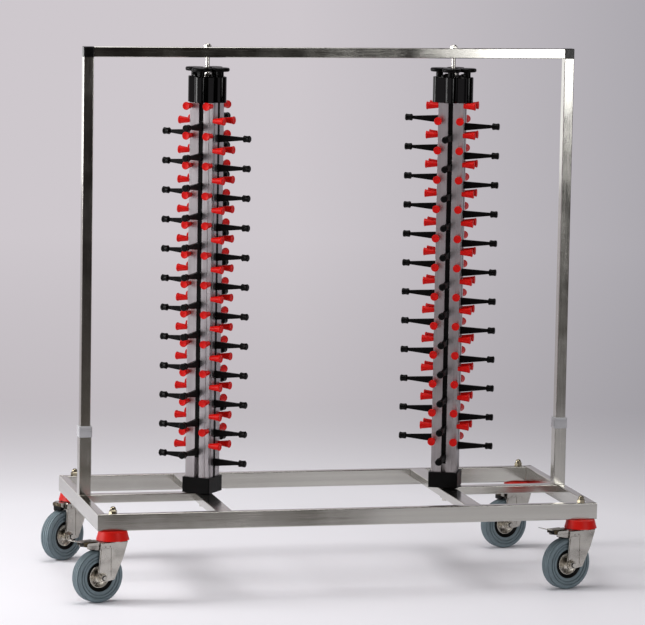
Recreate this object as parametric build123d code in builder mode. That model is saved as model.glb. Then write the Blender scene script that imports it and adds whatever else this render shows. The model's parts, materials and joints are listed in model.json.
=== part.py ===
from build123d import *
import math
import os

# A wheeled rack with two turning columns. Each face of a column holds a row of arms that slides up
# and down under fixed pegs, turned by a knob on the column's head, and grips between arm and pegs.
# +X is the right of the rack, -Y its front and +Z up. The origin is on the floor, at the centre of
# the rack's outline seen from above.

os.makedirs("parts", exist_ok=True)

# Fits
run_gap = 0.08  # radial gap of a shaft that turns in its bore
move_gap = 0.3  # gap between two faces that move past each other
slide_gap = 0.4  # gap on each side of a bar that slides in its channel

# Base frame
frame_l = 1230.0
frame_d = 570.0
rail_w = 20.0
rail_h = 40.0
tube_wall = 1.5
tube_round = 2.0
cross_w = 40.0
cross_h = 20.0
stub_w = 30.0
stub_h = 20.0
column_spacing = 615.0

# Casters
wheel_d = 125.0
tread_w = 32.0
tread_round = 7.0
bead_w = 28.0
groove_w = 1.6
groove_deep = 1.4
groove_pitch = 6.5
rim_d = 71.0
rim_w = 26.0
disc_d = 54.0
disc_t = 1.5
disc_edge = 9.5
disc_centre = 4.5
hub_d = 16.0
axle_d = 10.0
axle_nut_w = 17.0
axle_nut_h = 7.0
axle_tail = 5.0  # end of the axle bolt outside its nuts
caster_trail = 41.0
caster_inset = 38.0
leg_space = 42.0
leg_t = 2.5
leg_lead = 27.5
leg_back = 46.0
leg_knee = (-15.0, 41.5)  # from the swivel axis and the axle
leg_heel = (8.0, -7.5)
leg_foot_r = 12.0
leg_holes = (21.0, 33.0)
leg_hole_d = 4.0
leg_hole_drop = 7.0  # below the underside of the crown
panel_t = 1.2
panel_x = 21.0
panel_valley = 3.5
panel_round = 32.0
panel_margin = 2.0
panel_drop = 11.0
crown_clear = 17.0
crown_t = 4.0
crown_round = 3.0
hood_w = 38.0
hood_t = 2.0
hood_root = 34.0
hood_root_h = 21.0
hood_reach = 80.0
hood_end_h = 12.5
hood_round = 3.0
cap_hood_w = 30.0  # the closed hood of the two rear casters
cap_hood_reach = 60.0
cap_hood_end_h = 9.0
cap_hood_hole_d = 5.0
cap_hood_hole_drop = 4.0
skirt_gap = 1.5
skirt_h = 20.5
skirt_top_d = 68.0
race_inset = 6.0  # the race is this much narrower, in radius, than the top of the skirt
race_d = skirt_top_d - 2 * race_inset
skirt_foot_d = 79.0
skirt_wall = 2.0
mount_disc_t = 4.0
king_d = 12.0
king_nut_w = 19.0
king_nut_h = 7.0
dome_nut_w = 17.0
dome_nut_h = 18.0
dome_nut_hex_h = 9.0
dome_inset = 1.0  # a dome is this much narrower, in radius, than its hexagon
dome_share = 0.9  # of the dome's height or radius that is rounded
stem_bore_deep = 11.0

# Brake pedals of the two front casters
pedal_pin_x = 42.0
pedal_pin_drop = 8.0  # below the underside of the crown
pedal_pin_d = 6.0
pedal_pin_tail = 0.6
pedal_nose = 6.0  # from the pin to the inner end of the pedal's sides
pedal_nose_half = 5.0
pedal_front = 52.0
pedal_back = 87.0
pedal_t = 2.0
pedal_front_rise = 2.8  # top of the pedal above the top of the crown
pedal_back_rise = 2.0
pedal_back_h = 9.0
blade_t = 1.6
blade_w = 20.0
blade_reach = 118.0
blade_rise = 9.5
shoe_x = 48.0
shoe_l = 13.0
shoe_w = 26.0
shoe_gap = 4.0

# Posts, collars and top rail
socket_w = 30.0
socket_h = 142.0
post_w = 25.0
collar_w = 33.0
collar_h = 27.0
collar_round = 2.5
collar_top_round = 1.25
sleeve_h = 60.0
spigot_l = 40.0
connector_round = 1.5

# Columns
column_w = 64.0
column_step = 1.2  # the corner bands lie this much behind the middle of each face
band_half = 20.6
slot_w = 12.0
lip_t = 4.0
channel_w = 18.0
channel_deep = 14.0
core_bore_d = 16.0
corner_hollow = 14.0
corner_hollow_in = 13.5
block_w = 73.0
block_h = 38.0
block_pocket = 14.0
block_round = 2.0
washer_d = 40.0
washer_t = 1.5
pivot_d = 12.0
pivot_nut_w = 19.0
pivot_nut_h = 8.0
pivot_tail = 8.0
level_count = 12
level_pitch = 72.0
column_spare = 15.0  # column left over above the pegs and below the arms
peg_top_gap = 7.5
peg_spread = 27.0
peg_l = 30.0
peg_root_d = 11.0
peg_end_d = 19.5

# Arms and their sliding rails
arm_root_h = 18.8
arm_root_w = 8.4
arm_tip_h = 7.5
arm_tip_w = 6.5
arm_rise = 2.0
arm_reach = 85.0  # from the face of the column to the end of the cap
cap_d = 17.0
cap_waist_d = 15.0
cap_l = 18.0
cap_round = 2.0
rail_recess = 1.0
rail_spare = 5.0
drop_least = 25.0
drop_most = 55.0

# Heads and knobs
head_h = 63.0
lobe_out = 2.0  # the axes of the lobes lie this far outside the column's faces
lobe_r = column_w / 2 + lobe_out
lobe_d = 32.0
lobe_bore_d = 24.0
lobe_round = 2.5
head_floor = 3.0
head_roof = 8.0
tab_d = 22.0
tab_h = 12.0
spindle_d = 8.0
spindle_collar_d = 13.0
spindle_collar_h = 3.0
spindle_tail = 4.0
neck_d = 17.5
neck_h = 11.5
flange_d = 46.0
flange_h = 9.5
flange_round = 4.0
screw_inset = 11.5
screw_d = 5.0
screw_head_d = 12.0
screw_head_h = 6.0
screw_round = 4.8
screw_l = 25.0
stud_d = 10.0
stud_deep = 20.0
stud_nut_w = 17.0
stud_nut_h = 8.0
stud_clear = 45.0
top_nut_w = 16.0
top_nut_h = 8.0
top_nut_hex_h = 4.5

# How the rack stands: the casters trail to the left, turned towards the front by these angles
caster_sides = {"front_left": (-1, -1), "front_right": (1, -1), "rear_left": (-1, 1), "rear_right": (1, 1)}
caster_turn = {"front_left": 20.5, "front_right": 18.0, "rear_left": 34.5, "rear_right": 17.0}
braked = ("front_left", "front_right")

# The columns are turned clockwise seen from above. A face's pegs start at the top or half a step lower.
column_sides = {"left": -1, "right": 1}
column_turn = {"left": 37.5, "right": 23.5}
half_steps = {"left": (0, 1, 0, 1), "right": (1, 0, 1, 0)}
face_names = ("front", "right", "back", "left")
arm_drop = {"left": (52.0, 43.5, 34.0, 33.0), "right": (43.5, 51.5, 40.0, 34.0)}

# Heights, from the floor up
axle_z = wheel_d / 2
crown_z = wheel_d + crown_clear
crown_top = crown_z + crown_t
frame_z = crown_top + skirt_gap + skirt_h
frame_top = frame_z + rail_h
block_z = frame_top + washer_t + move_gap
block_top = block_z + block_h
column_top = block_top + level_pitch * (level_count + 0.5) + column_spare
head_top = column_top + head_h
top_rail_z = head_top + stud_clear
top_rail_top = top_rail_z + post_w

# Where the casters' outline ends, to centre the origin
bolt_x = frame_l / 2 - caster_inset
bolt_y = (frame_d - rail_w) / 2
leg_outer = leg_space / 2 + leg_t


def trail_direction(name):
    """The way the wheel trails behind its swivel."""
    angle = math.radians(caster_turn[name])
    return Vector(-math.cos(angle), -math.sin(angle), 0)


def caster_reach(name):
    """The outermost points of a caster about the middle of the base frame: left, front, right, rear."""
    side_x, side_y = caster_sides[name]
    swivel = Vector(side_x * bolt_x, side_y * bolt_y, 0)
    trail = trail_direction(name)
    axle = swivel + trail * caster_trail
    flat = wheel_d / 2 - tread_round
    shoulder = tread_w / 2 - tread_round
    across_x = flat * abs(trail.X) + shoulder * abs(trail.Y) + tread_round
    across_y = flat * abs(trail.Y) + shoulder * abs(trail.X) + tread_round
    skirt = skirt_foot_d / 2
    blade = swivel + trail * (blade_reach if name in braked else 0)
    blade_y = blade.Y - blade_w / 2 * abs(trail.X)
    blade_x = blade.X - blade_w / 2 * abs(trail.Y)
    return (
        min(axle.X - across_x, swivel.X - skirt, blade_x),
        min(axle.Y - across_y, swivel.Y - skirt, blade_y),
        max(axle.X + across_x, swivel.X + skirt),
        max(axle.Y + across_y, swivel.Y + skirt),
    )


reaches = [caster_reach(name) for name in caster_sides]
outline_left = min(-frame_l / 2, *(reach[0] for reach in reaches))
outline_front = min(-frame_d / 2, *(reach[1] for reach in reaches))
outline_right = max(frame_l / 2, *(reach[2] for reach in reaches))
outline_rear = max(frame_d / 2, *(reach[3] for reach in reaches))
centre_x = -(outline_left + outline_right) / 2
centre_y = -(outline_front + outline_rear) / 2


def level(x, y, z):
    """A horizontal plane at a point given from the middle of the base frame."""
    return Plane((centre_x + x, centre_y + y, z))


def write(piece, label):
    """Labels a finished piece and writes it."""
    piece.label = label
    export_step(piece, f"parts/{label}.step")


def square_tube(plane, width, depth, length):
    """A rectangular tube that stands on a plane."""
    with BuildPart() as tube:
        with BuildSketch(plane):
            RectangleRounded(width, depth, tube_round)
            Rectangle(width - 2 * tube_wall, depth - 2 * tube_wall, mode=Mode.SUBTRACT)
        extrude(amount=length)
    return tube


# Base frame: four rails mitred at the corners


def mitred_rail(plane, length, holes=()):
    """A tube along the plane's X axis, mitred at both ends, with its outer face on that axis."""
    start = plane.from_local_coords((-length / 2, rail_w / 2, rail_h / 2))
    with BuildPart() as rail:
        add(square_tube(Plane(start, x_dir=plane.y_dir, z_dir=plane.x_dir), rail_w, rail_h, length).part)
        with BuildSketch(plane):
            with BuildLine():
                Polyline(
                    (-length / 2, 0),
                    (length / 2, 0),
                    (length / 2 - rail_w, rail_w),
                    (-length / 2 + rail_w, rail_w),
                    close=True,
                )
            make_face()
        extrude(amount=rail_h, mode=Mode.INTERSECT)
        if holes:
            with BuildSketch(plane):
                with Locations(*[(x, rail_w / 2) for x in holes]):
                    Circle(king_d / 2)
            extrude(amount=rail_h, mode=Mode.SUBTRACT)
    return rail


def edge_plane(x, y, direction):
    """A plane at the underside of the frame, on its outer edge, whose Y axis points inwards."""
    return Plane((centre_x + x, centre_y + y, frame_z), x_dir=direction, z_dir=(0, 0, 1))


front_rail = mitred_rail(edge_plane(0, -frame_d / 2, (1, 0, 0)), frame_l, (-bolt_x, bolt_x))
write(front_rail.part, "front_rail")
rear_rail = mitred_rail(edge_plane(0, frame_d / 2, (-1, 0, 0)), frame_l, (-bolt_x, bolt_x))
write(rear_rail.part, "rear_rail")
left_end = mitred_rail(edge_plane(-frame_l / 2, 0, (0, -1, 0)), frame_d)
write(left_end.part, "left_end_rail")
right_end = mitred_rail(edge_plane(frame_l / 2, 0, (0, 1, 0)), frame_d)
write(right_end.part, "right_end_rail")

# Cross-members under the columns, and stubs from them to the end rails
column_x = column_spacing / 2
cross_l = frame_d - 2 * rail_w
stub_start = column_x + cross_w / 2
stub_l = frame_l / 2 - rail_w - stub_start
crosses = []
stubs = []
for side in column_sides.values():
    start = (centre_x + side * column_x, centre_y - cross_l / 2, frame_top - cross_h / 2)
    cross = square_tube(Plane(start, x_dir=(1, 0, 0), z_dir=(0, 1, 0)), cross_w, cross_h, cross_l)
    with BuildPart() as drilled_cross:
        add(cross.part)
        with BuildSketch(level(side * column_x, 0, frame_top - cross_h)):
            Circle(pivot_d / 2)
        extrude(amount=cross_h, mode=Mode.SUBTRACT)
    crosses.append(drilled_cross.part)
    start = (centre_x + side * stub_start, centre_y, frame_top - stub_h / 2)
    stub = square_tube(Plane(start, x_dir=(0, 1, 0), z_dir=(side, 0, 0)), stub_w, stub_h, stub_l)
    stubs.append(stub.part)
write(Compound(children=crosses), "cross_members")
write(Compound(children=stubs), "centre_stubs")

# Posts in their sockets, with a collar round the foot of each
post_x = (frame_l - socket_w) / 2
post_l = top_rail_z - frame_top
socket_top = frame_top + socket_h
sockets = []
collars = []
for name, side in column_sides.items():
    socket = square_tube(level(side * post_x, 0, frame_top), socket_w, socket_w, socket_h)
    sockets.append(socket.part)
    post = square_tube(level(side * post_x, 0, frame_top), post_w, post_w, post_l)
    write(post.part, f"{name}_post")
    with BuildPart() as collar:
        with BuildSketch(level(side * post_x, 0, socket_top)):
            Rectangle(collar_w, collar_w)
        extrude(amount=collar_h)
        fillet(collar.edges().filter_by(Axis.Z), collar_round)
        fillet(collar.faces().sort_by(Axis.Z)[-1].edges(), collar_top_round)
        with BuildSketch(level(side * post_x, 0, socket_top)):
            Rectangle(socket_w - 2 * tube_wall, socket_w - 2 * tube_wall)
        extrude(amount=-sleeve_h)
        with BuildSketch(level(side * post_x, 0, socket_top - sleeve_h)):
            Rectangle(post_w, post_w)
        extrude(amount=sleeve_h + collar_h, mode=Mode.SUBTRACT)
    collars.append(collar.part)
write(Compound(children=sockets), "post_sockets")
write(Compound(children=collars), "post_collars")

# Top rail, and the corner pieces that plug into it and into the posts
top_rail_l = 2 * post_x - post_w
top_start = (centre_x - top_rail_l / 2, centre_y, top_rail_z + post_w / 2)
with BuildPart() as top_rail:
    rail_start = Plane(top_start, x_dir=(0, 1, 0), z_dir=(1, 0, 0))
    add(square_tube(rail_start, post_w, post_w, top_rail_l).part)
    with BuildSketch(level(0, 0, top_rail_z)):
        with Locations((-column_x, 0), (column_x, 0)):
            Circle(stud_d / 2)
    extrude(amount=post_w, mode=Mode.SUBTRACT)
write(top_rail.part, "top_rail")

connectors = []
spigot_w = post_w - 2 * tube_wall
for side in column_sides.values():
    with BuildPart() as connector:
        with BuildSketch(level(side * post_x, 0, top_rail_z)):
            RectangleRounded(post_w, post_w, tube_round)
        extrude(amount=post_w)
        fillet(connector.faces().sort_by(Axis.Z)[-1].edges(), connector_round)
        with BuildSketch(level(side * post_x, 0, top_rail_z)):
            Rectangle(spigot_w, spigot_w)
        extrude(amount=-spigot_l)
        inner_face = (centre_x + side * (post_x - post_w / 2), centre_y, top_rail_z + post_w / 2)
        with BuildSketch(Plane(inner_face, x_dir=(0, 1, 0), z_dir=(-side, 0, 0))):
            Rectangle(spigot_w, spigot_w)
        extrude(amount=spigot_l)
    connectors.append(connector.part)
write(Compound(children=connectors), "corner_connectors")


def dome_nut(plane, width, height, hex_height, bore, bore_deep):
    """A hexagon nut under a dome, open from below, standing on a plane."""
    with BuildPart() as nut:
        with BuildSketch(plane):
            RegularPolygon(width / 2, 6, major_radius=False)
        extrude(amount=hex_height)
        with BuildSketch(plane.offset(hex_height)):
            Circle(width / 2 - dome_inset)
        extrude(amount=height - hex_height)
        rim = nut.faces().sort_by(Axis.Z)[-1].edges()
        fillet(rim, min(height - hex_height, width / 2 - dome_inset) * dome_share)
        with BuildSketch(plane):
            Circle(bore / 2)
        extrude(amount=bore_deep, mode=Mode.SUBTRACT)
    return nut


def plain_nut(plane, width, height, bore):
    """A hexagon nut standing on a plane."""
    with BuildPart() as nut:
        with BuildSketch(plane):
            RegularPolygon(width / 2, 6, major_radius=False)
            Circle(bore / 2, mode=Mode.SUBTRACT)
        extrude(amount=height)
    return nut


# Casters: each hangs on a king bolt through its rail, with a skirt over the swivel


def caster_plane(name, height=0.0):
    """A horizontal plane on the swivel axis, whose X axis points the way the wheel trails."""
    side_x, side_y = caster_sides[name]
    origin = (centre_x + side_x * bolt_x, centre_y + side_y * bolt_y, height)
    return Plane(origin, x_dir=trail_direction(name), z_dir=(0, 0, 1))


def caster_side_plane(name, offset=0.0):
    """An upright plane through the swivel axis: X the way the wheel trails, Y up."""
    flat = caster_plane(name)
    return Plane(flat.origin, x_dir=flat.x_dir, z_dir=flat.x_dir.cross(flat.z_dir)).offset(offset)


def axle_plane(name):
    """A horizontal plane at the middle of the axle, X the way the wheel trails."""
    flat = caster_plane(name, axle_z)
    return Plane(flat.origin + flat.x_dir * caster_trail, x_dir=flat.x_dir, z_dir=(0, 0, 1))


mounts = []
skirts = []
for name in caster_sides:
    with BuildPart() as disc:
        with BuildSketch(caster_plane(name, frame_z)):
            Circle(skirt_top_d / 2 - skirt_wall)
            Circle(king_d / 2, mode=Mode.SUBTRACT)
        extrude(amount=-mount_disc_t)
    king_foot = crown_z - move_gap - king_nut_h
    with BuildPart() as king_bolt:
        with BuildSketch(caster_plane(name, king_foot)):
            Circle(king_d / 2)
        extrude(amount=frame_top + stem_bore_deep - king_foot)
        with BuildSketch(caster_plane(name, king_foot)):
            RegularPolygon(king_nut_w / 2, 6, major_radius=False)
        extrude(amount=king_nut_h)
    nut_plane = caster_plane(name, frame_top)
    nut = dome_nut(nut_plane, dome_nut_w, dome_nut_h, dome_nut_hex_h, king_d, stem_bore_deep)
    mounts += [disc.part, king_bolt.part, nut.part]
    with BuildPart() as skirt:
        upright = caster_side_plane(name)
        with BuildSketch(upright):
            with BuildLine():
                Polyline(
                    (skirt_top_d / 2, frame_z),
                    (skirt_foot_d / 2, frame_z - skirt_h),
                    (skirt_foot_d / 2 - skirt_wall, frame_z - skirt_h),
                    (skirt_top_d / 2 - skirt_wall, frame_z - mount_disc_t),
                    (skirt_top_d / 2 - skirt_wall, frame_z),
                    close=True,
                )
            make_face()
        revolve(axis=Axis(upright.origin, (0, 0, 1)))
    skirts.append(skirt.part)
write(Compound(children=mounts), "caster_mounts")
write(Compound(children=skirts), "caster_skirts")


def leg(plane):
    """One leg of a fork, with two holes under the crown."""
    with BuildPart() as side:
        with BuildSketch(plane):
            with BuildLine():
                Polyline(
                    (-leg_lead, crown_top),
                    (-leg_lead, crown_z),
                    (leg_knee[0], axle_z + leg_knee[1]),
                    (leg_heel[0], axle_z + leg_heel[1]),
                    (caster_trail, axle_z - leg_foot_r),
                    (caster_trail + leg_foot_r, axle_z),
                    (leg_back, crown_z),
                    (leg_back, crown_top),
                    close=True,
                )
            make_face()
            with Locations((caster_trail, axle_z)):
                Circle(leg_foot_r)
                Circle(axle_d / 2, mode=Mode.SUBTRACT)
            with Locations(*[(x, crown_z - leg_hole_drop) for x in leg_holes]):
                Circle(leg_hole_d / 2, mode=Mode.SUBTRACT)
        extrude(amount=leg_t)
    return side


def leg_panels(plane):
    """The two raised fields of a leg: one round the axle, one along its leading edge."""
    top = crown_z - panel_drop
    front_x = panel_x - panel_valley
    knee = (leg_knee[0] + panel_margin, axle_z + leg_knee[1])
    heel = (leg_heel[0] + panel_margin, axle_z + leg_heel[1] + panel_margin)
    with BuildPart() as panels:
        with BuildSketch(plane):
            with BuildLine():
                Polyline(
                    (panel_x, top),
                    (panel_x, axle_z),
                    (caster_trail, axle_z - leg_foot_r + panel_margin),
                    (caster_trail + leg_foot_r - panel_margin, axle_z),
                    (leg_back - panel_margin, top),
                    close=True,
                )
            make_face()
            with Locations((caster_trail, axle_z)):
                Circle(leg_foot_r - panel_margin)
                Circle(axle_d / 2, mode=Mode.SUBTRACT)
            with BuildLine():
                Polyline((front_x, top), (front_x, axle_z), heel, knee)
                RadiusArc(knee, (front_x, top), panel_round)
            make_face()
        extrude(amount=panel_t)
    return panels


def open_hood(name):
    """The two sides of a front caster's hood, with holes for the pedal's pin."""
    with BuildPart() as sides:
        for start in (hood_w / 2 - hood_t, -hood_w / 2):
            with BuildSketch(caster_side_plane(name, start)):
                with BuildLine():
                    Polyline(
                        (hood_root, crown_top - hood_root_h),
                        (hood_reach, crown_top - hood_end_h),
                        (hood_reach, crown_top - hood_round),
                        (hood_reach - hood_round, crown_top),
                        (hood_root, crown_top),
                        close=True,
                    )
                make_face()
                with Locations((pedal_pin_x, crown_z - pedal_pin_drop)):
                    Circle(pedal_pin_d / 2, mode=Mode.SUBTRACT)
            extrude(amount=hood_t)
    return sides


def closed_hood(name):
    """A rear caster's hood: a pressed cap with sides, a roof and an end, open below."""
    end = cap_hood_reach - hood_t
    with BuildPart() as cap:
        with BuildSketch(caster_side_plane(name, -cap_hood_w / 2)):
            with BuildLine():
                Polyline(
                    (hood_root, crown_top - hood_root_h),
                    (cap_hood_reach, crown_top - cap_hood_end_h),
                    (cap_hood_reach, crown_top - hood_round),
                    (cap_hood_reach - hood_round, crown_top),
                    (hood_root, crown_top),
                    close=True,
                )
            make_face()
        extrude(amount=cap_hood_w)
        with BuildSketch(caster_side_plane(name, -cap_hood_w / 2 + hood_t)):
            with BuildLine():
                Polyline(
                    (hood_root, axle_z),
                    (end, axle_z),
                    (end, crown_top - hood_round),
                    (end - hood_round + hood_t, crown_top - hood_t),
                    (hood_root, crown_top - hood_t),
                    close=True,
                )
            make_face()
        extrude(amount=cap_hood_w - 2 * hood_t, mode=Mode.SUBTRACT)
        face = caster_plane(name, crown_top - cap_hood_hole_drop)
        with BuildSketch(Plane(face.origin + face.x_dir * end, x_dir=face.y_dir, z_dir=face.x_dir)):
            Circle(cap_hood_hole_d / 2)
        extrude(amount=hood_t, mode=Mode.SUBTRACT)
    return cap


def fork(name):
    """The pressed fork of a caster, with the race of its swivel on top and a hood over the wheel."""
    with BuildPart() as body:
        for start in (leg_space / 2, -leg_outer):
            add(leg(caster_side_plane(name, start)).part)
        with BuildSketch(caster_plane(name, crown_z)):
            with Locations(((leg_back - leg_lead) / 2, 0)):
                Rectangle(leg_back + leg_lead, 2 * leg_outer)
        extrude(amount=crown_t)
        along = [e for e in body.faces().sort_by(Axis.Z)[-1].edges() if e.length > leg_back]
        fillet(along, crown_round)
        add(open_hood(name).part if name in braked else closed_hood(name).part)
        race_top = frame_z - mount_disc_t - move_gap
        with BuildSketch(caster_plane(name, crown_z)):
            Circle(race_d / 2 - crown_t)
        extrude(amount=crown_t)
        with BuildSketch(caster_plane(name, crown_top)):
            Circle(race_d / 2)
        extrude(amount=race_top - crown_top)
        with BuildSketch(caster_plane(name, crown_z)):
            Circle(king_d / 2 + run_gap)
        extrude(amount=race_top - crown_z, mode=Mode.SUBTRACT)
        add(leg_panels(caster_side_plane(name, leg_outer)).part)
        add(leg_panels(caster_side_plane(name, -leg_outer - panel_t)).part)
    return body


def axle(name):
    """The bolt that the wheel turns on, with a hexagon at each end."""
    out = leg_outer + panel_t
    reach = out + axle_nut_h + axle_tail
    with BuildPart() as bolt:
        with BuildSketch(caster_side_plane(name, -reach)):
            with Locations((caster_trail, axle_z)):
                Circle(axle_d / 2)
        extrude(amount=2 * reach)
        for start, way in ((out, 1), (-out, -1)):
            with BuildSketch(caster_side_plane(name, start)):
                with Locations((caster_trail, axle_z)):
                    RegularPolygon(axle_nut_w / 2, 6, major_radius=False)
            extrude(amount=way * axle_nut_h)
    return bolt


def pedal_pin(name):
    """The pin across the hood that the brake pedal turns on."""
    reach = hood_w / 2 + pedal_pin_tail
    with BuildPart() as pin:
        with BuildSketch(caster_side_plane(name, -reach)):
            with Locations((pedal_pin_x, crown_z - pedal_pin_drop)):
                Circle(pedal_pin_d / 2)
        extrude(amount=2 * reach)
    return pin


def spun(name, profile):
    """Turns a closed outline of (radius, offset) points round the axle."""
    flat = axle_plane(name)
    with BuildPart() as ring:
        with BuildSketch(flat):
            with BuildLine():
                Polyline(*profile, close=True)
            make_face()
        revolve(axis=Axis(flat.origin, flat.y_dir))
    return ring


def tyre(name):
    """A rubber tyre with rounded shoulders and three grooves in its tread."""
    flat = axle_plane(name)
    rim_r = rim_d / 2
    wheel_r = wheel_d / 2
    round_x = wheel_r - tread_round
    shoulder = tread_w / 2 - tread_round
    with BuildPart() as ring:
        with BuildSketch(flat):
            with BuildLine():
                Line((wheel_r, -shoulder), (wheel_r, shoulder))
                CenterArc((round_x, shoulder), tread_round, 0, 90)
                Polyline(
                    (round_x, tread_w / 2),
                    (rim_r, bead_w / 2),
                    (rim_r, -bead_w / 2),
                    (round_x, -tread_w / 2),
                )
                CenterArc((round_x, -shoulder), tread_round, -90, 90)
            make_face()
            with Locations(*[(wheel_r, step * groove_pitch) for step in (-1, 0, 1)]):
                Rectangle(2 * groove_deep, groove_w, mode=Mode.SUBTRACT)
        revolve(axis=Axis(flat.origin, flat.y_dir))
    return ring


def rim(name):
    """The ring between the tyre and the hub's discs."""
    half = rim_w / 2
    return spun(name, [(disc_d / 2, -half), (rim_d / 2, -half), (rim_d / 2, half), (disc_d / 2, half)])


def hub(name):
    """The hub tube with a dished disc on each side."""
    bore = axle_d / 2 + run_gap
    tube = hub_d / 2
    half = leg_space / 2 - move_gap
    edge = disc_d / 2
    disc = [(tube, disc_centre), (edge, disc_edge), (edge, disc_edge + disc_t), (tube, disc_centre + disc_t)]
    mirrored = [(radius, -offset) for radius, offset in reversed(disc)]
    return spun(name, [(bore, -half), (tube, -half), *mirrored, *disc, (tube, half), (bore, half)])


def pedal(name):
    """A brake pedal: a channel over the wheel, a thin foot blade and a shoe for the tread."""
    half = hood_w / 2 - hood_t - 2 * move_gap
    pin_z = crown_z - pedal_pin_drop
    nose_x = pedal_pin_x - pedal_nose
    front_top = crown_top + pedal_front_rise
    back_top = crown_top + pedal_back_rise
    shoe_r = wheel_d / 2 + shoe_gap
    with BuildPart() as lever:
        for start in (half - pedal_t, -half):
            with BuildSketch(caster_side_plane(name, start)):
                with BuildLine():
                    Polyline(
                        (nose_x, pin_z - pedal_nose_half),
                        (pedal_back, back_top - pedal_back_h),
                        (pedal_back, back_top),
                        (pedal_front, front_top),
                        (pedal_front, pin_z + pedal_nose_half),
                        (nose_x, pin_z + pedal_nose_half),
                        close=True,
                    )
                make_face()
                with Locations((pedal_pin_x, pin_z)):
                    Circle(pedal_pin_d / 2 + run_gap, mode=Mode.SUBTRACT)
            extrude(amount=pedal_t)
        with BuildSketch(caster_side_plane(name, -half)):
            with BuildLine():
                Polyline(
                    (pedal_front, front_top - pedal_t),
                    (pedal_back, back_top - pedal_t),
                    (pedal_back, back_top),
                    (pedal_front, front_top),
                    close=True,
                )
            make_face()
        extrude(amount=2 * half)
        with BuildSketch(caster_side_plane(name, -blade_w / 2)):
            with BuildLine():
                Polyline(
                    (pedal_back - pedal_t, back_top - blade_t),
                    (pedal_back, back_top - blade_t),
                    (blade_reach, crown_top + blade_rise - blade_t),
                    (blade_reach, crown_top + blade_rise),
                    (pedal_back, back_top),
                    (pedal_back - pedal_t, back_top),
                    close=True,
                )
            make_face()
        extrude(amount=blade_w)
        with BuildSketch(caster_side_plane(name, -shoe_w / 2)):
            with Locations((shoe_x + shoe_l / 2, (front_top + axle_z) / 2)):
                Rectangle(shoe_l, front_top - axle_z)
            with Locations((caster_trail, axle_z)):
                Circle(shoe_r, mode=Mode.SUBTRACT)
        extrude(amount=shoe_w)
    return lever


for name in caster_sides:
    fork_pieces = [fork(name).part, axle(name).part]
    if name in braked:
        fork_pieces.append(pedal_pin(name).part)
        write(pedal(name).part, f"{name}_brake_pedal")
    write(Compound(children=fork_pieces), f"{name}_fork")
    write(tyre(name).part, f"{name}_tyre")
    write(rim(name).part, f"{name}_rim")
    write(hub(name).part, f"{name}_hub")

# Columns: each turns on a bolt in the base frame and on a stud in the top rail


def column_plane(name, height):
    """A horizontal plane on a column's axis, turned with the column."""
    angle = math.radians(column_turn[name])
    origin = (centre_x + column_sides[name] * column_x, centre_y, height)
    return Plane(origin, x_dir=(math.cos(angle), -math.sin(angle), 0), z_dir=(0, 0, 1))


def face_plane(name, face, distance):
    """An upright plane in front of a column face: X across the face, Y the height, Z outwards."""
    flat = column_plane(name, 0)
    across = flat.x_dir.rotate(Axis.Z, 90 * face)
    outwards = across.cross(Vector(0, 0, 1))
    return Plane(flat.origin, x_dir=across, z_dir=outwards).offset(distance)


def peg_height(name, face, row):
    """The height of a row of pegs on a face, counted from the top."""
    return column_top - peg_top_gap - level_pitch * (row + half_steps[name][face] / 2)


pivot_bolts = []
pivot_studs = []
cross_foot = frame_top - cross_h
pivot_top = block_top - block_pocket - move_gap
for name, side in column_sides.items():
    with BuildPart() as pivot_bolt:
        with BuildSketch(level(side * column_x, 0, cross_foot - pivot_nut_h - pivot_tail)):
            Circle(pivot_d / 2)
        extrude(amount=pivot_top - cross_foot + pivot_nut_h + pivot_tail)
    nut_plane = level(side * column_x, 0, cross_foot - pivot_nut_h)
    pivot_nut = plain_nut(nut_plane, pivot_nut_w, pivot_nut_h, pivot_d)
    with BuildPart() as washer:
        with BuildSketch(level(side * column_x, 0, frame_top)):
            Circle(washer_d / 2)
            Circle(pivot_d / 2, mode=Mode.SUBTRACT)
        extrude(amount=washer_t)
    pivot_bolts += [pivot_bolt.part, pivot_nut.part, washer.part]
    with BuildPart() as stud:
        with BuildSketch(level(side * column_x, 0, head_top - stud_deep)):
            Circle(stud_d / 2)
        extrude(amount=top_rail_top + top_nut_hex_h - head_top + stud_deep)
    foot_nut = plain_nut(level(side * column_x, 0, head_top + move_gap), stud_nut_w, stud_nut_h, stud_d)
    top_plane = level(side * column_x, 0, top_rail_top)
    top_nut = dome_nut(top_plane, top_nut_w, top_nut_h, top_nut_hex_h, stud_d, top_nut_hex_h)
    pivot_studs += [stud.part, foot_nut.part, top_nut.part]
write(Compound(children=pivot_bolts), "pivot_bolts")
write(Compound(children=pivot_studs), "pivot_studs")


def column_profile(name):
    """The aluminium column: a slot up the middle of each face, over a wider channel."""
    half = column_w / 2
    foot = block_top - block_pocket
    with BuildPart() as profile:
        with BuildSketch(column_plane(name, foot)):
            side = column_w - 2 * column_step
            Rectangle(side, side)
            Rectangle(column_w, 2 * band_half)
            Rectangle(2 * band_half, column_w)
            Circle(core_bore_d / 2, mode=Mode.SUBTRACT)
            reach = half - lip_t - channel_deep / 2
            with PolarLocations(reach, 4):
                Rectangle(channel_deep, channel_w, mode=Mode.SUBTRACT)
            with PolarLocations(half, 4):
                Rectangle(2 * lip_t, slot_w, mode=Mode.SUBTRACT)
            place = 2 * corner_hollow_in + corner_hollow
            with GridLocations(place, place, 2, 2):
                Rectangle(corner_hollow, corner_hollow, mode=Mode.SUBTRACT)
        extrude(amount=column_top - foot)
    return profile


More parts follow.
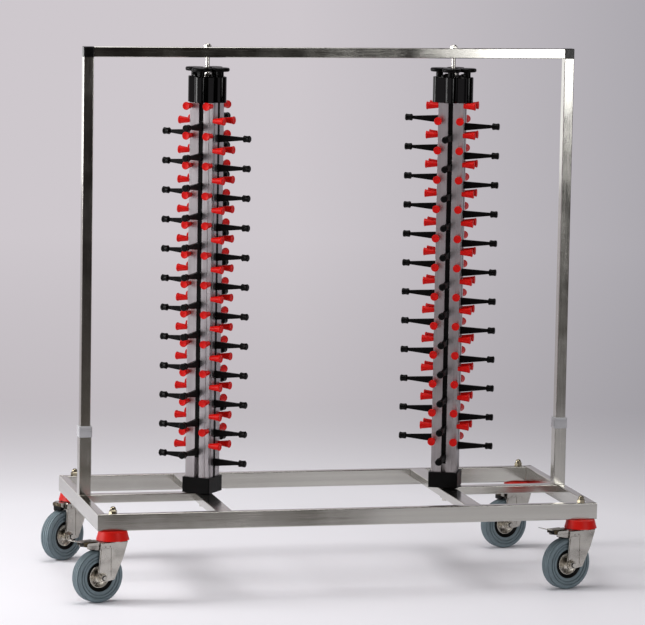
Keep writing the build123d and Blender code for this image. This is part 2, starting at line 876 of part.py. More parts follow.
def base_block(name):
    """The block at a column's foot, with a pocket for the profile and a bore for the pivot bolt."""
    side = column_w - 2 * column_step
    with BuildPart() as block:
        with BuildSketch(column_plane(name, block_z)):
            RectangleRounded(block_w, block_w, block_round)
        extrude(amount=block_h)
        with BuildSketch(column_plane(name, block_top - block_pocket)):
            Rectangle(side, side)
            Rectangle(column_w, 2 * band_half)
            Rectangle(2 * band_half, column_w)
        extrude(amount=block_pocket, mode=Mode.SUBTRACT)
        with BuildSketch(column_plane(name, block_z)):
            Circle(pivot_d / 2 + run_gap)
        extrude(amount=block_h, mode=Mode.SUBTRACT)
    return block


def pegs(name):
    """The tapered pegs, two to a row on every face."""
    spots = []
    for face in range(4):
        seat = face_plane(name, face, column_w / 2 - column_step)
        for row in range(level_count):
            for side in (-1, 1):
                spot = seat.location * Location((side * peg_spread, peg_height(name, face, row), 0))
                spots.append(spot)
    with BuildPart() as cones:
        with Locations(*spots):
            Cone(peg_root_d / 2, peg_end_d / 2, peg_l, align=(Align.CENTER, Align.CENTER, Align.MIN))
    return cones


def head(name):
    """The moulding on top of a column: a core with four hollow lobes for the knobs' spindles."""
    half = column_w / 2
    roof = head_top - head_roof
    channel_at = half - lip_t - channel_deep / 2
    with BuildPart() as moulding:
        with BuildSketch(column_plane(name, column_top)):
            Rectangle(column_w, column_w)
            with PolarLocations(lobe_r, 4):
                Circle(lobe_d / 2)
        extrude(amount=head_h)
        fillet(moulding.faces().sort_by(Axis.Z)[-1].edges(), lobe_round)
        with BuildSketch(column_plane(name, column_top)):
            with PolarLocations(channel_at, 4):
                Rectangle(channel_deep, channel_w)
        extrude(amount=roof - column_top, mode=Mode.SUBTRACT)
        with BuildSketch(column_plane(name, column_top + head_floor)):
            with PolarLocations(lobe_r, 4):
                Circle(lobe_bore_d / 2)
        extrude(amount=roof - column_top - head_floor, mode=Mode.SUBTRACT)
        with BuildSketch(column_plane(name, roof)):
            with PolarLocations(lobe_r, 4):
                Circle(spindle_d / 2 + run_gap)
        extrude(amount=head_roof, mode=Mode.SUBTRACT)
        with BuildSketch(column_plane(name, column_top)):
            Circle(stud_d / 2 + run_gap)
            screw_at = column_w - 2 * screw_inset
            with GridLocations(screw_at, screw_at, 2, 2):
                Circle(screw_d / 2)
        extrude(amount=head_h, mode=Mode.SUBTRACT)
    return moulding


def head_screws(name):
    """The four dome-headed screws that hold a head on its column."""
    screw_at = column_w - 2 * screw_inset
    with BuildPart() as screws:
        with BuildSketch(column_plane(name, head_top - head_h - screw_l)):
            with GridLocations(screw_at, screw_at, 2, 2):
                Circle(screw_d / 2)
        extrude(amount=head_h + screw_l)
        with BuildSketch(column_plane(name, head_top)):
            with GridLocations(screw_at, screw_at, 2, 2):
                Circle(screw_head_d / 2)
        extrude(amount=screw_head_h)
        tops = screws.faces().filter_by(Axis.Z).group_by(Axis.Z)[-1]
        fillet(tops.edges(), screw_round)
    return screws


def knob(name, face):
    """A mushroom knob on its spindle, held in the head by a collar under the roof."""
    at = face_plane(name, face, 0)
    upright = Plane(at.origin + at.z_dir * lobe_r, x_dir=at.x_dir, z_dir=at.z_dir)
    roof = head_top - head_roof
    tab_low = roof - move_gap - spindle_collar_h - slide_gap - tab_h - (drop_most - drop_least)
    neck_foot = head_top + move_gap
    flange_foot = neck_foot + neck_h
    with BuildPart() as turned:
        with BuildSketch(upright):
            with BuildLine():
                Polyline(
                    (0, tab_low - spindle_tail),
                    (spindle_d / 2, tab_low - spindle_tail),
                    (spindle_d / 2, roof - move_gap - spindle_collar_h),
                    (spindle_collar_d / 2, roof - move_gap - spindle_collar_h),
                    (spindle_collar_d / 2, roof - move_gap),
                    (spindle_d / 2, roof - move_gap),
                    (spindle_d / 2, neck_foot),
                    (neck_d / 2, neck_foot),
                    (neck_d / 2, flange_foot),
                    (flange_d / 2, flange_foot),
                    (flange_d / 2, flange_foot + flange_h),
                    (0, flange_foot + flange_h),
                    close=True,
                )
            make_face()
        revolve(axis=Axis(upright.origin, (0, 0, 1)))
        rims = turned.edges().filter_by(GeomType.CIRCLE).group_by(SortBy.RADIUS)[-1]
        fillet(rims, flange_round)
    return turned


def arm_blade():
    """One tapered arm on the XY plane, pointing up, as long as the way to its cap."""
    length = arm_reach + rail_recess - cap_l
    with BuildPart() as blade:
        with BuildSketch(Plane.XY):
            Rectangle(arm_root_w, arm_root_h)
        with BuildSketch(Plane.XY.offset(length)):
            with Locations((0, arm_rise)):
                Rectangle(arm_tip_w, arm_tip_h)
        loft()
    return blade


def arm_cap():
    """The waisted cap on the tip of an arm."""
    length = arm_reach + rail_recess - cap_l
    tip = Plane((0, arm_rise, length), x_dir=(1, 0, 0), z_dir=(0, -1, 0))
    with BuildPart() as cap:
        with BuildSketch(tip):
            with BuildLine():
                Polyline(
                    (0, 0),
                    (cap_d / 2 - cap_round, 0),
                    (cap_d / 2, cap_round),
                    (cap_waist_d / 2, cap_l / 2),
                    (cap_d / 2, cap_l - cap_round),
                    (cap_d / 2 - cap_round, cap_l),
                    (0, cap_l),
                    close=True,
                )
            make_face()
        revolve(axis=Axis(tip.origin, (0, 0, 1)))
    return cap


def arm_rail(name, face, pieces):
    """The bar behind a slot, its lift nut, and its row of arms made of the given pieces."""
    half = column_w / 2
    drop = arm_drop[name][face]
    heights = [peg_height(name, face, row) - drop for row in range(level_count)]
    roof = head_top - head_roof
    tab_top = roof - move_gap - spindle_collar_h - slide_gap - (drop - drop_least)
    bar_foot = heights[-1] - arm_root_h / 2 - rail_spare
    rib_top = heights[0] + arm_root_h / 2 + rail_spare
    bar_in = half - lip_t - channel_deep + slide_gap
    bar_out = half - lip_t - slide_gap
    seat = half - rail_recess
    with BuildPart() as bar:
        with BuildSketch(face_plane(name, face, bar_in)):
            with Locations((0, (bar_foot + tab_top) / 2)):
                Rectangle(channel_w - 2 * slide_gap, tab_top - bar_foot)
        extrude(amount=bar_out - bar_in)
        with BuildSketch(face_plane(name, face, bar_out)):
            with Locations((0, (bar_foot + rib_top) / 2)):
                Rectangle(slot_w - 2 * slide_gap, rib_top - bar_foot)
        extrude(amount=seat - bar_out)
    on_face = face_plane(name, face, lobe_r)
    tab_foot = on_face.origin + Vector(0, 0, tab_top - tab_h)
    with BuildPart() as lift_nut:
        with BuildSketch(Plane(tab_foot, x_dir=on_face.x_dir, z_dir=(0, 0, 1))):
            Circle(tab_d / 2)
            with Locations((0, lobe_r - bar_out)):
                Rectangle(tab_d, tab_d, align=(Align.CENTER, Align.MIN), mode=Mode.SUBTRACT)
            Circle(spindle_d / 2 + move_gap, mode=Mode.SUBTRACT)
        extrude(amount=tab_h)
    root = face_plane(name, face, seat).location
    row = [root * Location((0, height, 0)) for height in heights]
    rows = []
    for piece in pieces:
        with BuildPart() as copies:
            with Locations(*row):
                add(piece.part)
        rows.append(copies.part)
    return Compound(children=[bar.part, lift_nut.part, *rows])


arm_pieces = [arm_blade(), arm_cap()]
for name in column_sides:
    write(column_profile(name).part, f"{name}_column_profile")
    write(base_block(name).part, f"{name}_base_block")
    write(pegs(name).part, f"{name}_pegs")
    write(Compound(children=[head(name).part, head_screws(name).part]), f"{name}_head")
    for face, face_name in enumerate(face_names):
        write(knob(name, face).part, f"{name}_{face_name}_knob")
        write(arm_rail(name, face, arm_pieces), f"{name}_{face_name}_arm_rail")
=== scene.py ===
import json
import math

import bmesh
import bpy
from mathutils import Matrix, Vector


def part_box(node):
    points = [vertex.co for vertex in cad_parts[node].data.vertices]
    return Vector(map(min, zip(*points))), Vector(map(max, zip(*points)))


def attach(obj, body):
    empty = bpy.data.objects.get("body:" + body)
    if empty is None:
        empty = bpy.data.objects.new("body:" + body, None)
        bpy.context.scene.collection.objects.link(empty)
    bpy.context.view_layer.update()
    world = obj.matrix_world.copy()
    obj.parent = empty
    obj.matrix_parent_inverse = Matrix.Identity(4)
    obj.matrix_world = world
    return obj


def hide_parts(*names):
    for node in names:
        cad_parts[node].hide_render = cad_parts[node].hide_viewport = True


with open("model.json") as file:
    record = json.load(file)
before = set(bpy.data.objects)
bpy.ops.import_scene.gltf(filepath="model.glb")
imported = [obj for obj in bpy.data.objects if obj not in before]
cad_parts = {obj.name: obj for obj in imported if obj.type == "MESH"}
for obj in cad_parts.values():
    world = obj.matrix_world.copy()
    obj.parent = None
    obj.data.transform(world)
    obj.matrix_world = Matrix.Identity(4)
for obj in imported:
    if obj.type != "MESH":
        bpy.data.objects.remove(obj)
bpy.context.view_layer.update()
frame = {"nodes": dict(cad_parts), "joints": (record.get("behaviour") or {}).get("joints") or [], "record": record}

mm = 0.001
up = Vector((0, 0, 1))

# Driving sizes of the rack, as in the CAD
frame_l = 1230 * mm
frame_d = 570 * mm
rail_w = 20 * mm
rail_h = 40 * mm
cross_w = 40 * mm
cross_h = 20 * mm
column_x = 307.5 * mm
column_turn = {"left": 37.5, "right": 23.5}
half_steps = {"left": (0, 1, 0, 1), "right": (1, 0, 1, 0)}
level_count = 12
level_pitch = 72 * mm
peg_spread = 27 * mm
peg_l = 30 * mm
peg_root_r = 5.5 * mm
peg_end_r = 9.75 * mm
peg_seat = 30.8 * mm
peg_top_gap = 7.5 * mm
wheel_r = 62.5 * mm
tread_half = 16 * mm
tread_round = 7 * mm
rim_r = 35.5 * mm
disc_r = 27 * mm
hub_r = 8 * mm
hub_half = 20.7 * mm
axle_r = 5 * mm
crown_z = 142 * mm
leg_outer = 23.5 * mm
leg_panel_t = 1.2 * mm
hood_half = 19 * mm
hood_t = 2 * mm
mount_r = 32 * mm
mount_t = 4 * mm
king_r = 6 * mm
socket_w = 30 * mm
post_w = 25 * mm
collar_w = 33 * mm
collar_h = 27 * mm

caster_names = ("front_left", "front_right", "rear_left", "rear_right")
braked = ("front_left", "front_right")

joints = {joint["name"]: joint for joint in frame["joints"]}
rail_low, rail_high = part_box("front_rail")
rear_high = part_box("rear_rail")[1]
frame_low, frame_high = rail_low.z, rail_high.z
centre = Vector(((rail_low.x + rail_high.x) / 2, (rail_low.y + rear_high.y) / 2, 0))


def frame_at(origin, x_way, y_way, z_way):
    """A matrix with the given axes and origin."""
    return Matrix.Translation(origin) @ Matrix((x_way, y_way, z_way)).transposed().to_4x4()


# The photograph's view, found by fitting the rack's corners to it

photo_w = 645
focal_px = 3784.4
view_yaw = math.radians(13.298)
view_pitch = math.radians(7.023)
view_roll = math.radians(0.983)
view_distance = 9.2813
view_shift_right = -0.01172
view_shift_up = -0.00363
target_height = 0.65
clip_end = 200

flat_forward = Vector((math.sin(view_yaw), math.cos(view_yaw), 0))
flat_right = Vector((math.cos(view_yaw), -math.sin(view_yaw), 0))
view_forward = flat_forward * math.cos(view_pitch) - up * math.sin(view_pitch)
level_up = up * math.cos(view_pitch) + flat_forward * math.sin(view_pitch)
view_right = flat_right * math.cos(view_roll) + level_up * math.sin(view_roll)
view_up = level_up * math.cos(view_roll) - flat_right * math.sin(view_roll)
view_place = centre + up * target_height - view_forward * view_distance
view_place += view_right * view_shift_right + view_up * view_shift_up


def make_camera():
    """The camera at the photograph's place, with its roll."""
    data = bpy.data.cameras.new("camera")
    data.sensor_fit = "HORIZONTAL"
    data.lens = focal_px / photo_w * data.sensor_width
    data.clip_end = clip_end
    camera = bpy.data.objects.new("camera", data)
    camera.matrix_world = frame_at(view_place, view_right, view_up, -view_forward)
    bpy.context.scene.collection.objects.link(camera)
    bpy.context.scene.camera = camera


make_camera()

# Materials, each a small tree of nodes over the object's own coordinates

noise_low, noise_high = 0.3, 0.7  # most values of a noise lie between these
color_a, color_b, color_result = 6, 7, 2  # the Mix node's sockets for colours
edge_samples = 4


def srgb(red, green, blue):
    """A colour read as 0 to 255 turned into the linear values that a shader takes."""
    linear = [
        (c / 255 / 12.92) if c <= 10 else ((c / 255 + 0.055) / 1.055) ** 2.4
        for c in (red, green, blue)
    ]
    return (*linear, 1.0)


class Paint:
    """A material being built: a Principled shader and short calls for the nodes that feed it."""

    output = "Material Output"

    def __init__(self, name, color, roughness, metallic=0.0, **fixed):
        self.material = bpy.data.materials.new(name)
        self.material.use_nodes = True
        self.tree = self.material.node_tree
        self.shader = self.tree.nodes["Principled BSDF"]
        self.color = srgb(*color)
        self.roughness = roughness
        fixed.update(Base_Color=self.color, Roughness=roughness, Metallic=metallic)
        self.fill(self.shader, **fixed)
        self.place = self.tree.nodes.new("ShaderNodeTexCoord").outputs["Object"]

    def feed(self, socket, value):
        """Links an output to an input, or sets the input to a plain value."""
        if isinstance(value, bpy.types.NodeSocket):
            self.tree.links.new(value, socket)
        else:
            socket.default_value = value

    def fill(self, node, **inputs):
        """Feeds a node's inputs by name, where _ stands for a space."""
        for name, value in inputs.items():
            self.feed(node.inputs[name.replace("_", " ")], value)

    def node(self, kind, **inputs):
        """A node with its inputs by name."""
        made = self.tree.nodes.new("ShaderNode" + kind)
        self.fill(made, **inputs)
        return made

    def operate(self, kind, operation, *values):
        """The outputs of a Math or VectorMath node, with its inputs in their order."""
        made = self.node(kind)
        made.operation = operation
        for socket, value in zip(made.inputs, values):
            self.feed(socket, value)
        return made.outputs

    def add(self, one, other):
        """The sum of two values, each a number or a socket."""
        return self.operate("Math", "ADD", one, other)["Value"]

    def times(self, one, other):
        """The product of two values, each a number or a socket."""
        return self.operate("Math", "MULTIPLY", one, other)["Value"]

    def stretched(self, scale):
        """The object's coordinates scaled along each axis."""
        return self.node("Mapping", Vector=self.place, Scale=scale).outputs["Vector"]

    def noise(self, vector, scale, detail, roughness=0.5):
        """A smooth noise from 0 to 1, with this many waves to a metre."""
        made = self.node("TexNoise", Vector=vector, Scale=scale, Detail=detail, Roughness=roughness)
        return made.outputs["Fac"]

    def mapped(self, value, low, high, start=noise_low, end=noise_high):
        """A value from start to end turned into one from low to high."""
        span = {"From_Min": start, "From_Max": end, "To_Min": low, "To_Max": high}
        return self.node("MapRange", Value=value, **span).outputs["Result"]

    def blend(self, factor, one, other):
        """A mix of two colours, each a tuple or a socket."""
        made = self.node("Mix")
        made.data_type = "RGBA"
        self.feed(made.inputs["Factor"], factor)
        self.feed(made.inputs[color_a], one)
        self.feed(made.inputs[color_b], other)
        return made.outputs[color_result]

    def shade(self, factor, spread):
        """The base colour, from darker to lighter by a share of itself as the factor rises."""
        dark = (*(c * (1 - spread) for c in self.color[:3]), 1)
        light = (*(min(1, c * (1 + spread)) for c in self.color[:3]), 1)
        return self.blend(factor, dark, light)

    def use(self, socket, value):
        """Feeds one of the Principled shader's sockets."""
        self.feed(self.shader.inputs[socket], value)

    def roughen(self, one, other):
        """The base roughness with two variations added."""
        self.use("Roughness", self.add(self.add(one, other), self.roughness))

    def bump(self, height, strength, distance, **normal):
        """A normal that follows a height, over another normal if one is given."""
        made = self.node("Bump", Height=height, Strength=strength, Distance=distance, **normal)
        return made.outputs["Normal"]

    def mixed(self, factor, one, other):
        """One shader where the factor is 0, and another where it is 1."""
        made = self.node("MixShader")
        for socket, value in zip(made.inputs, (factor, one, other)):
            self.feed(socket, value)
        return made.outputs["Shader"]

    def show(self, shader):
        """Makes a shader the tree's result."""
        self.feed(self.tree.nodes[self.output].inputs["Surface"], shader)


def brushed(name, color, along, roughness=0.15, spread=0.10, grain=900, edge=0.0):
    """Brushed metal: streaks along one axis and slow smudges, with rounded edges if asked for."""
    streak_stretch = 0.012
    streak_share, broad_share, smudge_share = 0.36, 0.36, 0.28
    paint = Paint(name, color, roughness, metallic=1.0)
    scale = [1.0, 1.0, 1.0]
    scale["XYZ".index(along)] = streak_stretch
    streak = paint.noise(paint.stretched(scale), grain, detail=4, roughness=0.65)
    broad = paint.noise(paint.stretched(scale), grain / 9, detail=2)
    smudge = paint.noise(paint.place, scale=7, detail=4, roughness=0.6)
    lines = paint.add(paint.times(streak, streak_share), paint.times(broad, broad_share))
    tone = paint.add(lines, paint.times(smudge, smudge_share))
    paint.use("Base Color", paint.shade(paint.mapped(tone, 0, 1), spread))
    paint.roughen(paint.mapped(streak, -0.05, 0.05), paint.mapped(smudge, -0.05, 0.07))
    rounded = {}
    if edge:
        bevel = paint.node("Bevel", Radius=edge)
        bevel.samples = edge_samples
        rounded["Normal"] = bevel.outputs["Normal"]
    paint.use("Normal", paint.bump(streak, strength=0.35, distance=0.02 * mm, **rounded))
    return paint.material


def plated(name, color, roughness, spread, mottle=220, depth=0.01 * mm, waves=0.0):
    """Plated steel: slightly mottled, with a faint ripple and, where pressed, slow waves."""
    paint = Paint(name, color, roughness, metallic=1.0)
    cloud = paint.noise(paint.place, mottle, detail=5, roughness=0.6)
    slow = paint.noise(paint.place, mottle / 6, detail=2)
    paint.use("Base Color", paint.shade(paint.mapped(cloud, 0, 1), spread))
    paint.roughen(paint.mapped(cloud, -0.05, 0.06), paint.mapped(slow, -0.04, 0.06))
    ripple = paint.noise(paint.place, mottle, detail=1)
    pressed = {}
    if waves:
        dents = paint.noise(paint.place, scale=34, detail=0)
        pressed["Normal"] = paint.bump(dents, strength=1.0, distance=waves)
    paint.use("Normal", paint.bump(ripple, strength=0.3, distance=depth, **pressed))
    return paint.material


def moulded(name, color, roughness, spread=0.12, texture=2600, **fixed):
    """Moulded plastic: a fine texture, faint handling marks and slightly uneven colour."""
    paint = Paint(name, color, roughness, **fixed)
    fine = paint.noise(paint.place, texture, detail=2)
    marks = paint.noise(paint.stretched((1, 1, 0.35)), scale=160, detail=5, roughness=0.7)
    slow = paint.noise(paint.place, scale=22, detail=3)
    paint.use("Base Color", paint.shade(paint.mapped(slow, 0, 1), spread))
    paint.roughen(paint.mapped(marks, -0.04, 0.08, 0.35, 0.75), paint.mapped(slow, -0.03, 0.03))
    paint.use("Normal", paint.bump(fine, strength=0.25, distance=0.01 * mm))
    return paint.material


def rubber(name, color, roughness):
    """Tyre rubber: matte, with paler dust in patches and fine scuffs."""
    dust_lift, dust_share = 26, 0.6
    paint = Paint(name, color, roughness)
    dust = paint.noise(paint.place, scale=60, detail=6, roughness=0.7)
    scuff = paint.noise(paint.stretched((1, 1, 0.3)), scale=500, detail=4, roughness=0.7)
    dusty = srgb(*(min(255, c + dust_lift) for c in color))
    tone = paint.times(paint.mapped(dust, 0, 1, 0.45, 0.8), dust_share)
    paint.use("Base Color", paint.blend(tone, paint.shade(scuff, 0.12), dusty))
    paint.use("Roughness", paint.mapped(dust, roughness - 0.08, roughness + 0.14))
    paint.use("Normal", paint.bump(scuff, strength=0.3, distance=0.05 * mm))
    return paint.material


steel = (186, 184, 178)
recipes = {
    "steel_along_x": (brushed, dict(color=steel, along="X", roughness=0.12)),
    "steel_along_z": (brushed, dict(color=steel, along="Z")),
    "frame_along_x": (brushed, dict(color=steel, along="X", roughness=0.18, spread=0.22)),
    "frame_along_y": (brushed, dict(color=steel, along="Y", roughness=0.18, spread=0.22)),
    "frame_along_z": (brushed, dict(color=steel, along="Z", roughness=0.2, spread=0.22)),
    "polished": (plated, dict(color=(206, 203, 196), roughness=0.16, spread=0.06)),
    "zinc": (plated, dict(
        color=(184, 181, 174), roughness=0.22, spread=0.06, mottle=300, waves=2.6 * mm,
    )),
    "aluminium": (brushed, dict(
        color=(192, 188, 190), along="Z", roughness=0.34, spread=0.24, grain=420, edge=0.5 * mm,
    )),
    "black_gloss": (moulded, dict(
        color=(1, 1, 1), roughness=0.07, texture=60, Specular_IOR_Level=0.22,
    )),
    "knob": (moulded, dict(color=(1, 1, 1), roughness=0.36, Specular_IOR_Level=0.1)),
    "black_matte": (moulded, dict(color=(2, 2, 2), roughness=0.42, Specular_IOR_Level=0.12)),
    "red_plastic": (moulded, dict(
        color=(212, 8, 2), roughness=0.42, spread=0.05, Specular_IOR_Level=0.2,
    )),
    "red_skirt": (moulded, dict(
        color=(196, 16, 5), roughness=0.42, spread=0.06, Specular_IOR_Level=0.22,
    )),
    "white_plastic": (moulded, dict(color=(178, 178, 181), roughness=0.45, spread=0.04)),
    "tyre": (rubber, dict(color=(103, 118, 124), roughness=0.62)),
    "rim": (moulded, dict(color=(2, 3, 3), roughness=0.5, Specular_IOR_Level=0.12)),
    "hub": (plated, dict(
        color=(206, 201, 190), roughness=0.27, spread=0.05, mottle=420, depth=0.004 * mm,
    )),
    "lever": (plated, dict(color=(74, 66, 52), roughness=0.3, spread=0.3)),
    "dome_nut": (plated, dict(color=(152, 144, 124), roughness=0.1, spread=0.08, mottle=90)),
    "weld": (plated, dict(color=(150, 146, 138), roughness=0.3, spread=0.2, mottle=400)),
    "connector": (moulded, dict(color=(8, 8, 9), roughness=0.24, Specular_IOR_Level=0.3)),
}
looks = {name: make(name, **values) for name, (make, values) in recipes.items()}

node_slot = {entry["node"]: entry["material_slot"] for entry in frame["record"]["subparts"]}
own_looks = {
    "top_rail": "steel_along_x",
    "left_post": "steel_along_z",
    "right_post": "steel_along_z",
    "front_rail": "frame_along_x",
    "rear_rail": "frame_along_x",
    "centre_stubs": "frame_along_x",
    "left_end_rail": "frame_along_y",
    "right_end_rail": "frame_along_y",
    "cross_members": "frame_along_y",
    "post_sockets": "frame_along_z",
    "corner_connectors": "connector",
}
own_looks.update({node: "knob" for node in node_slot if node.endswith("_knob")})

# A CAD node takes its own look, such as steel brushed along the tube, or its slot's
for node, body in frame["nodes"].items():
    body.data.materials.clear()
    body.data.materials.append(looks[own_looks.get(node, node_slot[node])])

# Shapes made of points and faces, to be placed by a matrix

sharp_angle = math.radians(32)
merge_gap = 1e-7
right_angle = math.pi / 2


def millimetres(points):
    """Pairs of numbers in millimetres turned into metres."""
    return [(one * mm, other * mm) for one, other in points]


def joined(parts):
    """Several shapes as one."""
    verts, faces = [], []
    for part_verts, part_faces in parts:
        start = len(verts)
        verts += part_verts
        faces += [tuple(start + corner for corner in face) for face in part_faces]
    return verts, faces


def placed(shape, place):
    """A shape moved and turned by a matrix."""
    verts, faces = shape
    return [place @ Vector(vert) for vert in verts], faces


def looped(rings):
    """The faces between rings of points round a closed path; the last ring meets the first."""
    count = len(rings[0])
    verts = [point for ring in rings for point in ring]
    faces = []
    for step in range(len(rings)):
        here, after = step * count, (step + 1) % len(rings) * count
        for i in range(count):
            j = (i + 1) % count
            faces.append((here + i, here + j, after + j, after + i))
    return verts, faces


def turned(profile, steps):
    """A closed outline of (radius, height) points turned round the Z axis."""
    rings = []
    for step in range(steps):
        angle = 2 * math.pi * step / steps
        way = Vector((math.cos(angle), math.sin(angle), 0))
        rings.append([way * radius + Vector((0, 0, height)) for radius, height in profile])
    return looped(rings)


def hexagon(profile):
    """An outline turned in six steps, as on a nut."""
    return turned(profile, steps=6)


def hexagon_corner(flats):
    """The radius at the corners of a hexagon that is this wide across its flats."""
    return flats / 2 / math.cos(math.pi / 6)


def rod(inner_r, outer_r, foot, top):
    """The outline of a plain tube, or of a bar where the inner radius is 0."""
    return [(inner_r, foot), (outer_r, foot), (outer_r, top), (inner_r, top)]


def squared(profile, outer, corner_round):
    """A closed outline of (half width, height) points run round a square with round corners."""
    corner_steps = 5
    least_round = 0.3 * mm
    rings = []
    for corner, (x_side, y_side) in enumerate(((1, 1), (-1, 1), (-1, -1), (1, -1))):
        diagonal = Vector((x_side, y_side, 0))
        for step in range(corner_steps):
            angle = right_angle * (corner + step / (corner_steps - 1))
            way = Vector((math.cos(angle), math.sin(angle), 0))
            ring = []
            for half, height in profile:
                bend = max(least_round, corner_round - (outer - half))
                ring.append(diagonal * (half - bend) + way * bend + Vector((0, 0, height)))
            rings.append(ring)
    return looped(rings)


def prism(outline, start, end, bevel=0.4 * mm):
    """An outline of (x, z) points from start to end along Y, with its edges broken."""
    bm = bmesh.new()
    face = bm.faces.new([bm.verts.new((x, start, z)) for x, z in outline])
    moved = bmesh.ops.extrude_face_region(bm, geom=[face])["geom"]
    far = [item for item in moved if isinstance(item, bmesh.types.BMVert)]
    bmesh.ops.translate(bm, verts=far, vec=(0, end - start, 0))
    bmesh.ops.recalc_face_normals(bm, faces=bm.faces)
    bmesh.ops.bevel(bm, geom=bm.edges[:], offset=bevel, segments=2, affect="EDGES", profile=0.5)
    bm.verts.index_update()
    verts = [vert.co.copy() for vert in bm.verts]
    faces = [tuple(vert.index for vert in face.verts) for face in bm.faces]
    bm.free()
    return verts, faces


def piece(name, shape, body, look, replaced=()):
    """A shape as an object that rides on a body, in place of the CAD nodes that are named."""
    verts, faces = shape
    mesh = bpy.data.meshes.new(name)
    mesh.from_pydata(verts, [], faces)
    bm = bmesh.new()
    bm.from_mesh(mesh)
    bmesh.ops.remove_doubles(bm, verts=bm.verts, dist=merge_gap)
    bmesh.ops.recalc_face_normals(bm, faces=bm.faces)
    bm.to_mesh(mesh)
    bm.free()
    mesh.shade_smooth()
    mesh.set_sharp_from_angle(angle=sharp_angle)
    mesh.materials.append(looks[look])
    made = bpy.data.objects.new(name, mesh)
    bpy.context.scene.collection.objects.link(made)
    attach(made, body)
    if replaced:
        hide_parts(*replaced)


# Pegs, with a lip round the wide end

peg_lip = 3.6 * mm
peg_flare = 0.8  # how much of the widening comes before the lip


def peg():
    """A peg standing on its narrow end, with a rounded lip and a slightly dished end."""
    neck_r = peg_root_r + (peg_end_r - peg_root_r) * peg_flare
    return turned([
        (0, 0),
        (peg_root_r, 0),
        (neck_r, peg_l - peg_lip),
        (peg_end_r, peg_l - peg_lip + 0.5 * mm),
        (peg_end_r, peg_l - 1.2 * mm),
        (peg_end_r - 0.4 * mm, peg_l - 0.4 * mm),
        (peg_end_r - 1.2 * mm, peg_l),
        (peg_end_r - 2.4 * mm, peg_l - 0.4 * mm),
        (0, peg_l - 0.8 * mm),
    ], steps=28)


def pegs(column):
    """Two pegs side by side at each level of the column's four faces."""
    axis = Vector(joints[f"{column}_column_turn"]["pos_m"])
    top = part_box(f"{column}_column_profile")[1].z
    parts = []
    for face, half_step in enumerate(half_steps[column]):
        angle = math.radians(90 * face - column_turn[column])
        across = Vector((math.cos(angle), math.sin(angle), 0))
        outwards = across.cross(up)
        for row in range(level_count):
            height = top - peg_top_gap - level_pitch * (row + half_step / 2)
            seat = Vector((axis.x, axis.y, height)) + outwards * peg_seat
            for side in (-1, 1):
                spot = seat + across * side * peg_spread
                parts.append(placed(peg(), frame_at(spot, across, up, outwards)))
    piece(f"{column}_peg_set", joined(parts), f"{column}_column", "red_plastic",
          (f"{column}_pegs",))


for column in column_turn:
    pegs(column)

# Wheels: tyre, rim and hub turned round the axle

groove_half = 1.1 * mm
groove_foot = groove_half * 0.6
groove_deep = 2 * mm
groove_pitch = 6.5 * mm
shoulder_steps = 12
notch_steps = (7, 8)
notch_deep = 2.2 * mm
bore_gap = 0.08 * mm
hub_edge = 0.6 * mm


def mirrored(half_profile):
    """A closed outline from one of its halves, given from the inside out at positive heights."""
    return half_profile + [(radius, -height) for radius, height in reversed(half_profile)]


def tyre_profile():
    """A raised ring between two grooves on each side, notched shoulders, and a grooved tread."""
    side = millimetres([
        (35.5, 13.0), (36.3, 14.2), (42.4, 14.9), (43.1, 12.8), (44.6, 12.8), (45.2, 15.5),
        (49.2, 15.8), (50.0, 13.4), (51.7, 13.4), (52.4, 15.9),
    ])
    centre_r, centre_y = wheel_r - tread_round, tread_half - tread_round
    shoulder = []
    for step in range(shoulder_steps + 1):
        angle = right_angle - right_angle * step / shoulder_steps
        bend = tread_round - (notch_deep if step in notch_steps else 0)
        shoulder.append((centre_r + bend * math.cos(angle), centre_y + bend * math.sin(angle)))
    floor_r = wheel_r - groove_deep
    tread = [
        (wheel_r, groove_pitch + groove_half),
        (floor_r, groove_pitch + groove_foot),
        (floor_r, groove_pitch - groove_foot),
        (wheel_r, groove_pitch - groove_half),
        (wheel_r, groove_half),
        (floor_r, groove_foot),
    ]
    return mirrored(side + shoulder + tread)


def rim_profile():
    """A dished ring between the hub's discs and the tyre."""
    return mirrored([
        (disc_r - 0.4 * mm, 9.4 * mm),
        (disc_r, 10.6 * mm),
        (disc_r + 1.6 * mm, 11.4 * mm),
        (rim_r - 3.2 * mm, 12.2 * mm),
        (rim_r - 2.2 * mm, 13.0 * mm),
        (rim_r - 0.8 * mm, 13.4 * mm),
        (rim_r, 12.9 * mm),
    ])


def hub_profile():
    """The hub's tube and its two dished discs with rolled edges."""
    return mirrored([
        (axle_r + bore_gap, hub_half),
        (hub_r - hub_edge, hub_half),
        (hub_r, hub_half - hub_edge),
        (hub_r, 6.6 * mm),
        (hub_r + 2 * mm, 5.9 * mm),
        (hub_r + 6 * mm, 6.1 * mm),
        (hub_r + 11 * mm, 7.4 * mm),
        (hub_r + 15.5 * mm, 9.6 * mm),
        (disc_r - 1.6 * mm, 10.8 * mm),
        (disc_r - 0.6 * mm, 10.6 * mm),
        (disc_r, 9.6 * mm),
        (disc_r - 1.2 * mm, 9.2 * mm),
        (hub_r + 11 * mm, 5.9 * mm),
        (hub_r, 4.6 * mm),
    ])


